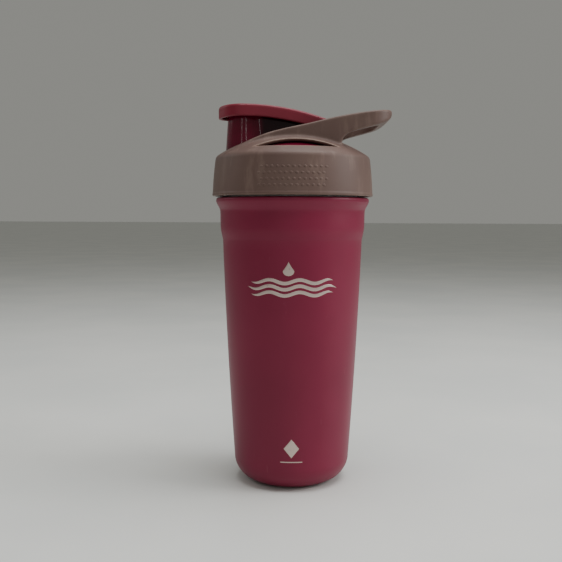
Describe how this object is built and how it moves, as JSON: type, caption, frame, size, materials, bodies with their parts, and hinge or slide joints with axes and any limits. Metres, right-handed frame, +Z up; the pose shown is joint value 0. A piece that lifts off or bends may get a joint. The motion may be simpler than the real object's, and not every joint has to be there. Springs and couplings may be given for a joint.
{
  "type": "shaker bottle",
  "caption": "Insulated steel shaker bottle: tapered double-wall body, screw-on lid with spout, flip cap and carry loop, and a loose wire whisk ball inside.",
  "frame": {"origin": "on the bottle's axis, in the plane that it stands on", "axes": "+Z up along the bottle's axis, +X towards the carry loop, -X towards the spout"},
  "size_m": [0.1044, 0.0944, 0.2208],
  "materials": {
    "body_coat": "plum powder coat with a soft satin sheen and a fine orange-peel texture",
    "bare_steel": "bare pressed stainless steel",
    "base_steel": "spun stainless steel with fine rings",
    "liner_steel": "electropolished stainless steel",
    "wire_steel": "polished stainless wire",
    "pin_steel": "ground stainless pin",
    "solder": "dull sealing bead",
    "getter": "pressed grey getter alloy",
    "silicone": "pale translucent silicone",
    "core_plastic": "glossy dark plum moulding",
    "shell_plastic": "matt taupe moulding",
    "cap_plastic": "satin plum moulding"
  },
  "bodies": {
    "bottle": {"outer_shell": "body_coat", "outer_bottom": "bare_steel", "base_cover": "base_steel", "seal_bead": "solder", "inner_liner": "liner_steel", "liner_bottom": "liner_steel", "getter_clip": "bare_steel", "getter_pill": "getter"},
    "whisk": {"whisk_ball": "wire_steel"},
    "gasket": {"neck_gasket": "silicone"},
    "lid": {"lid_core": "core_plastic", "lid_shell": "shell_plastic", "hinge_pin": "pin_steel", "pin_plug": "shell_plastic"},
    "cap": {"flip_cap": "cap_plastic", "cap_carrier": "cap_plastic", "spout_seal": "silicone"}
  },
  "joints": [
    {"name": "lid_lift", "type": "slide", "parent": "bottle", "child": "gasket", "axis": [0, 0, 1], "range_m": [0, 0.0251]},
    {"name": "lid_turn", "type": "hinge", "parent": "gasket", "child": "lid", "pos_m": [0, 0, 0.18], "axis": [0, 0, 1], "range_deg": [0, 1800]},
    {"name": "cap_flip", "type": "hinge", "parent": "lid", "child": "cap", "pos_m": [0.0255, 0, 0.2056], "axis": [0, 1, 0], "range_deg": [0, 120]},
    {"name": "whisk_travel", "type": "slide", "parent": "bottle", "child": "whisk", "axis": [0, 0, 1], "range_m": [0, 0.14]}
  ],
  "couplings": [
    {"joint": "lid_lift", "follows": "lid_turn", "m_per_rad": 0.00079577}
  ]
}
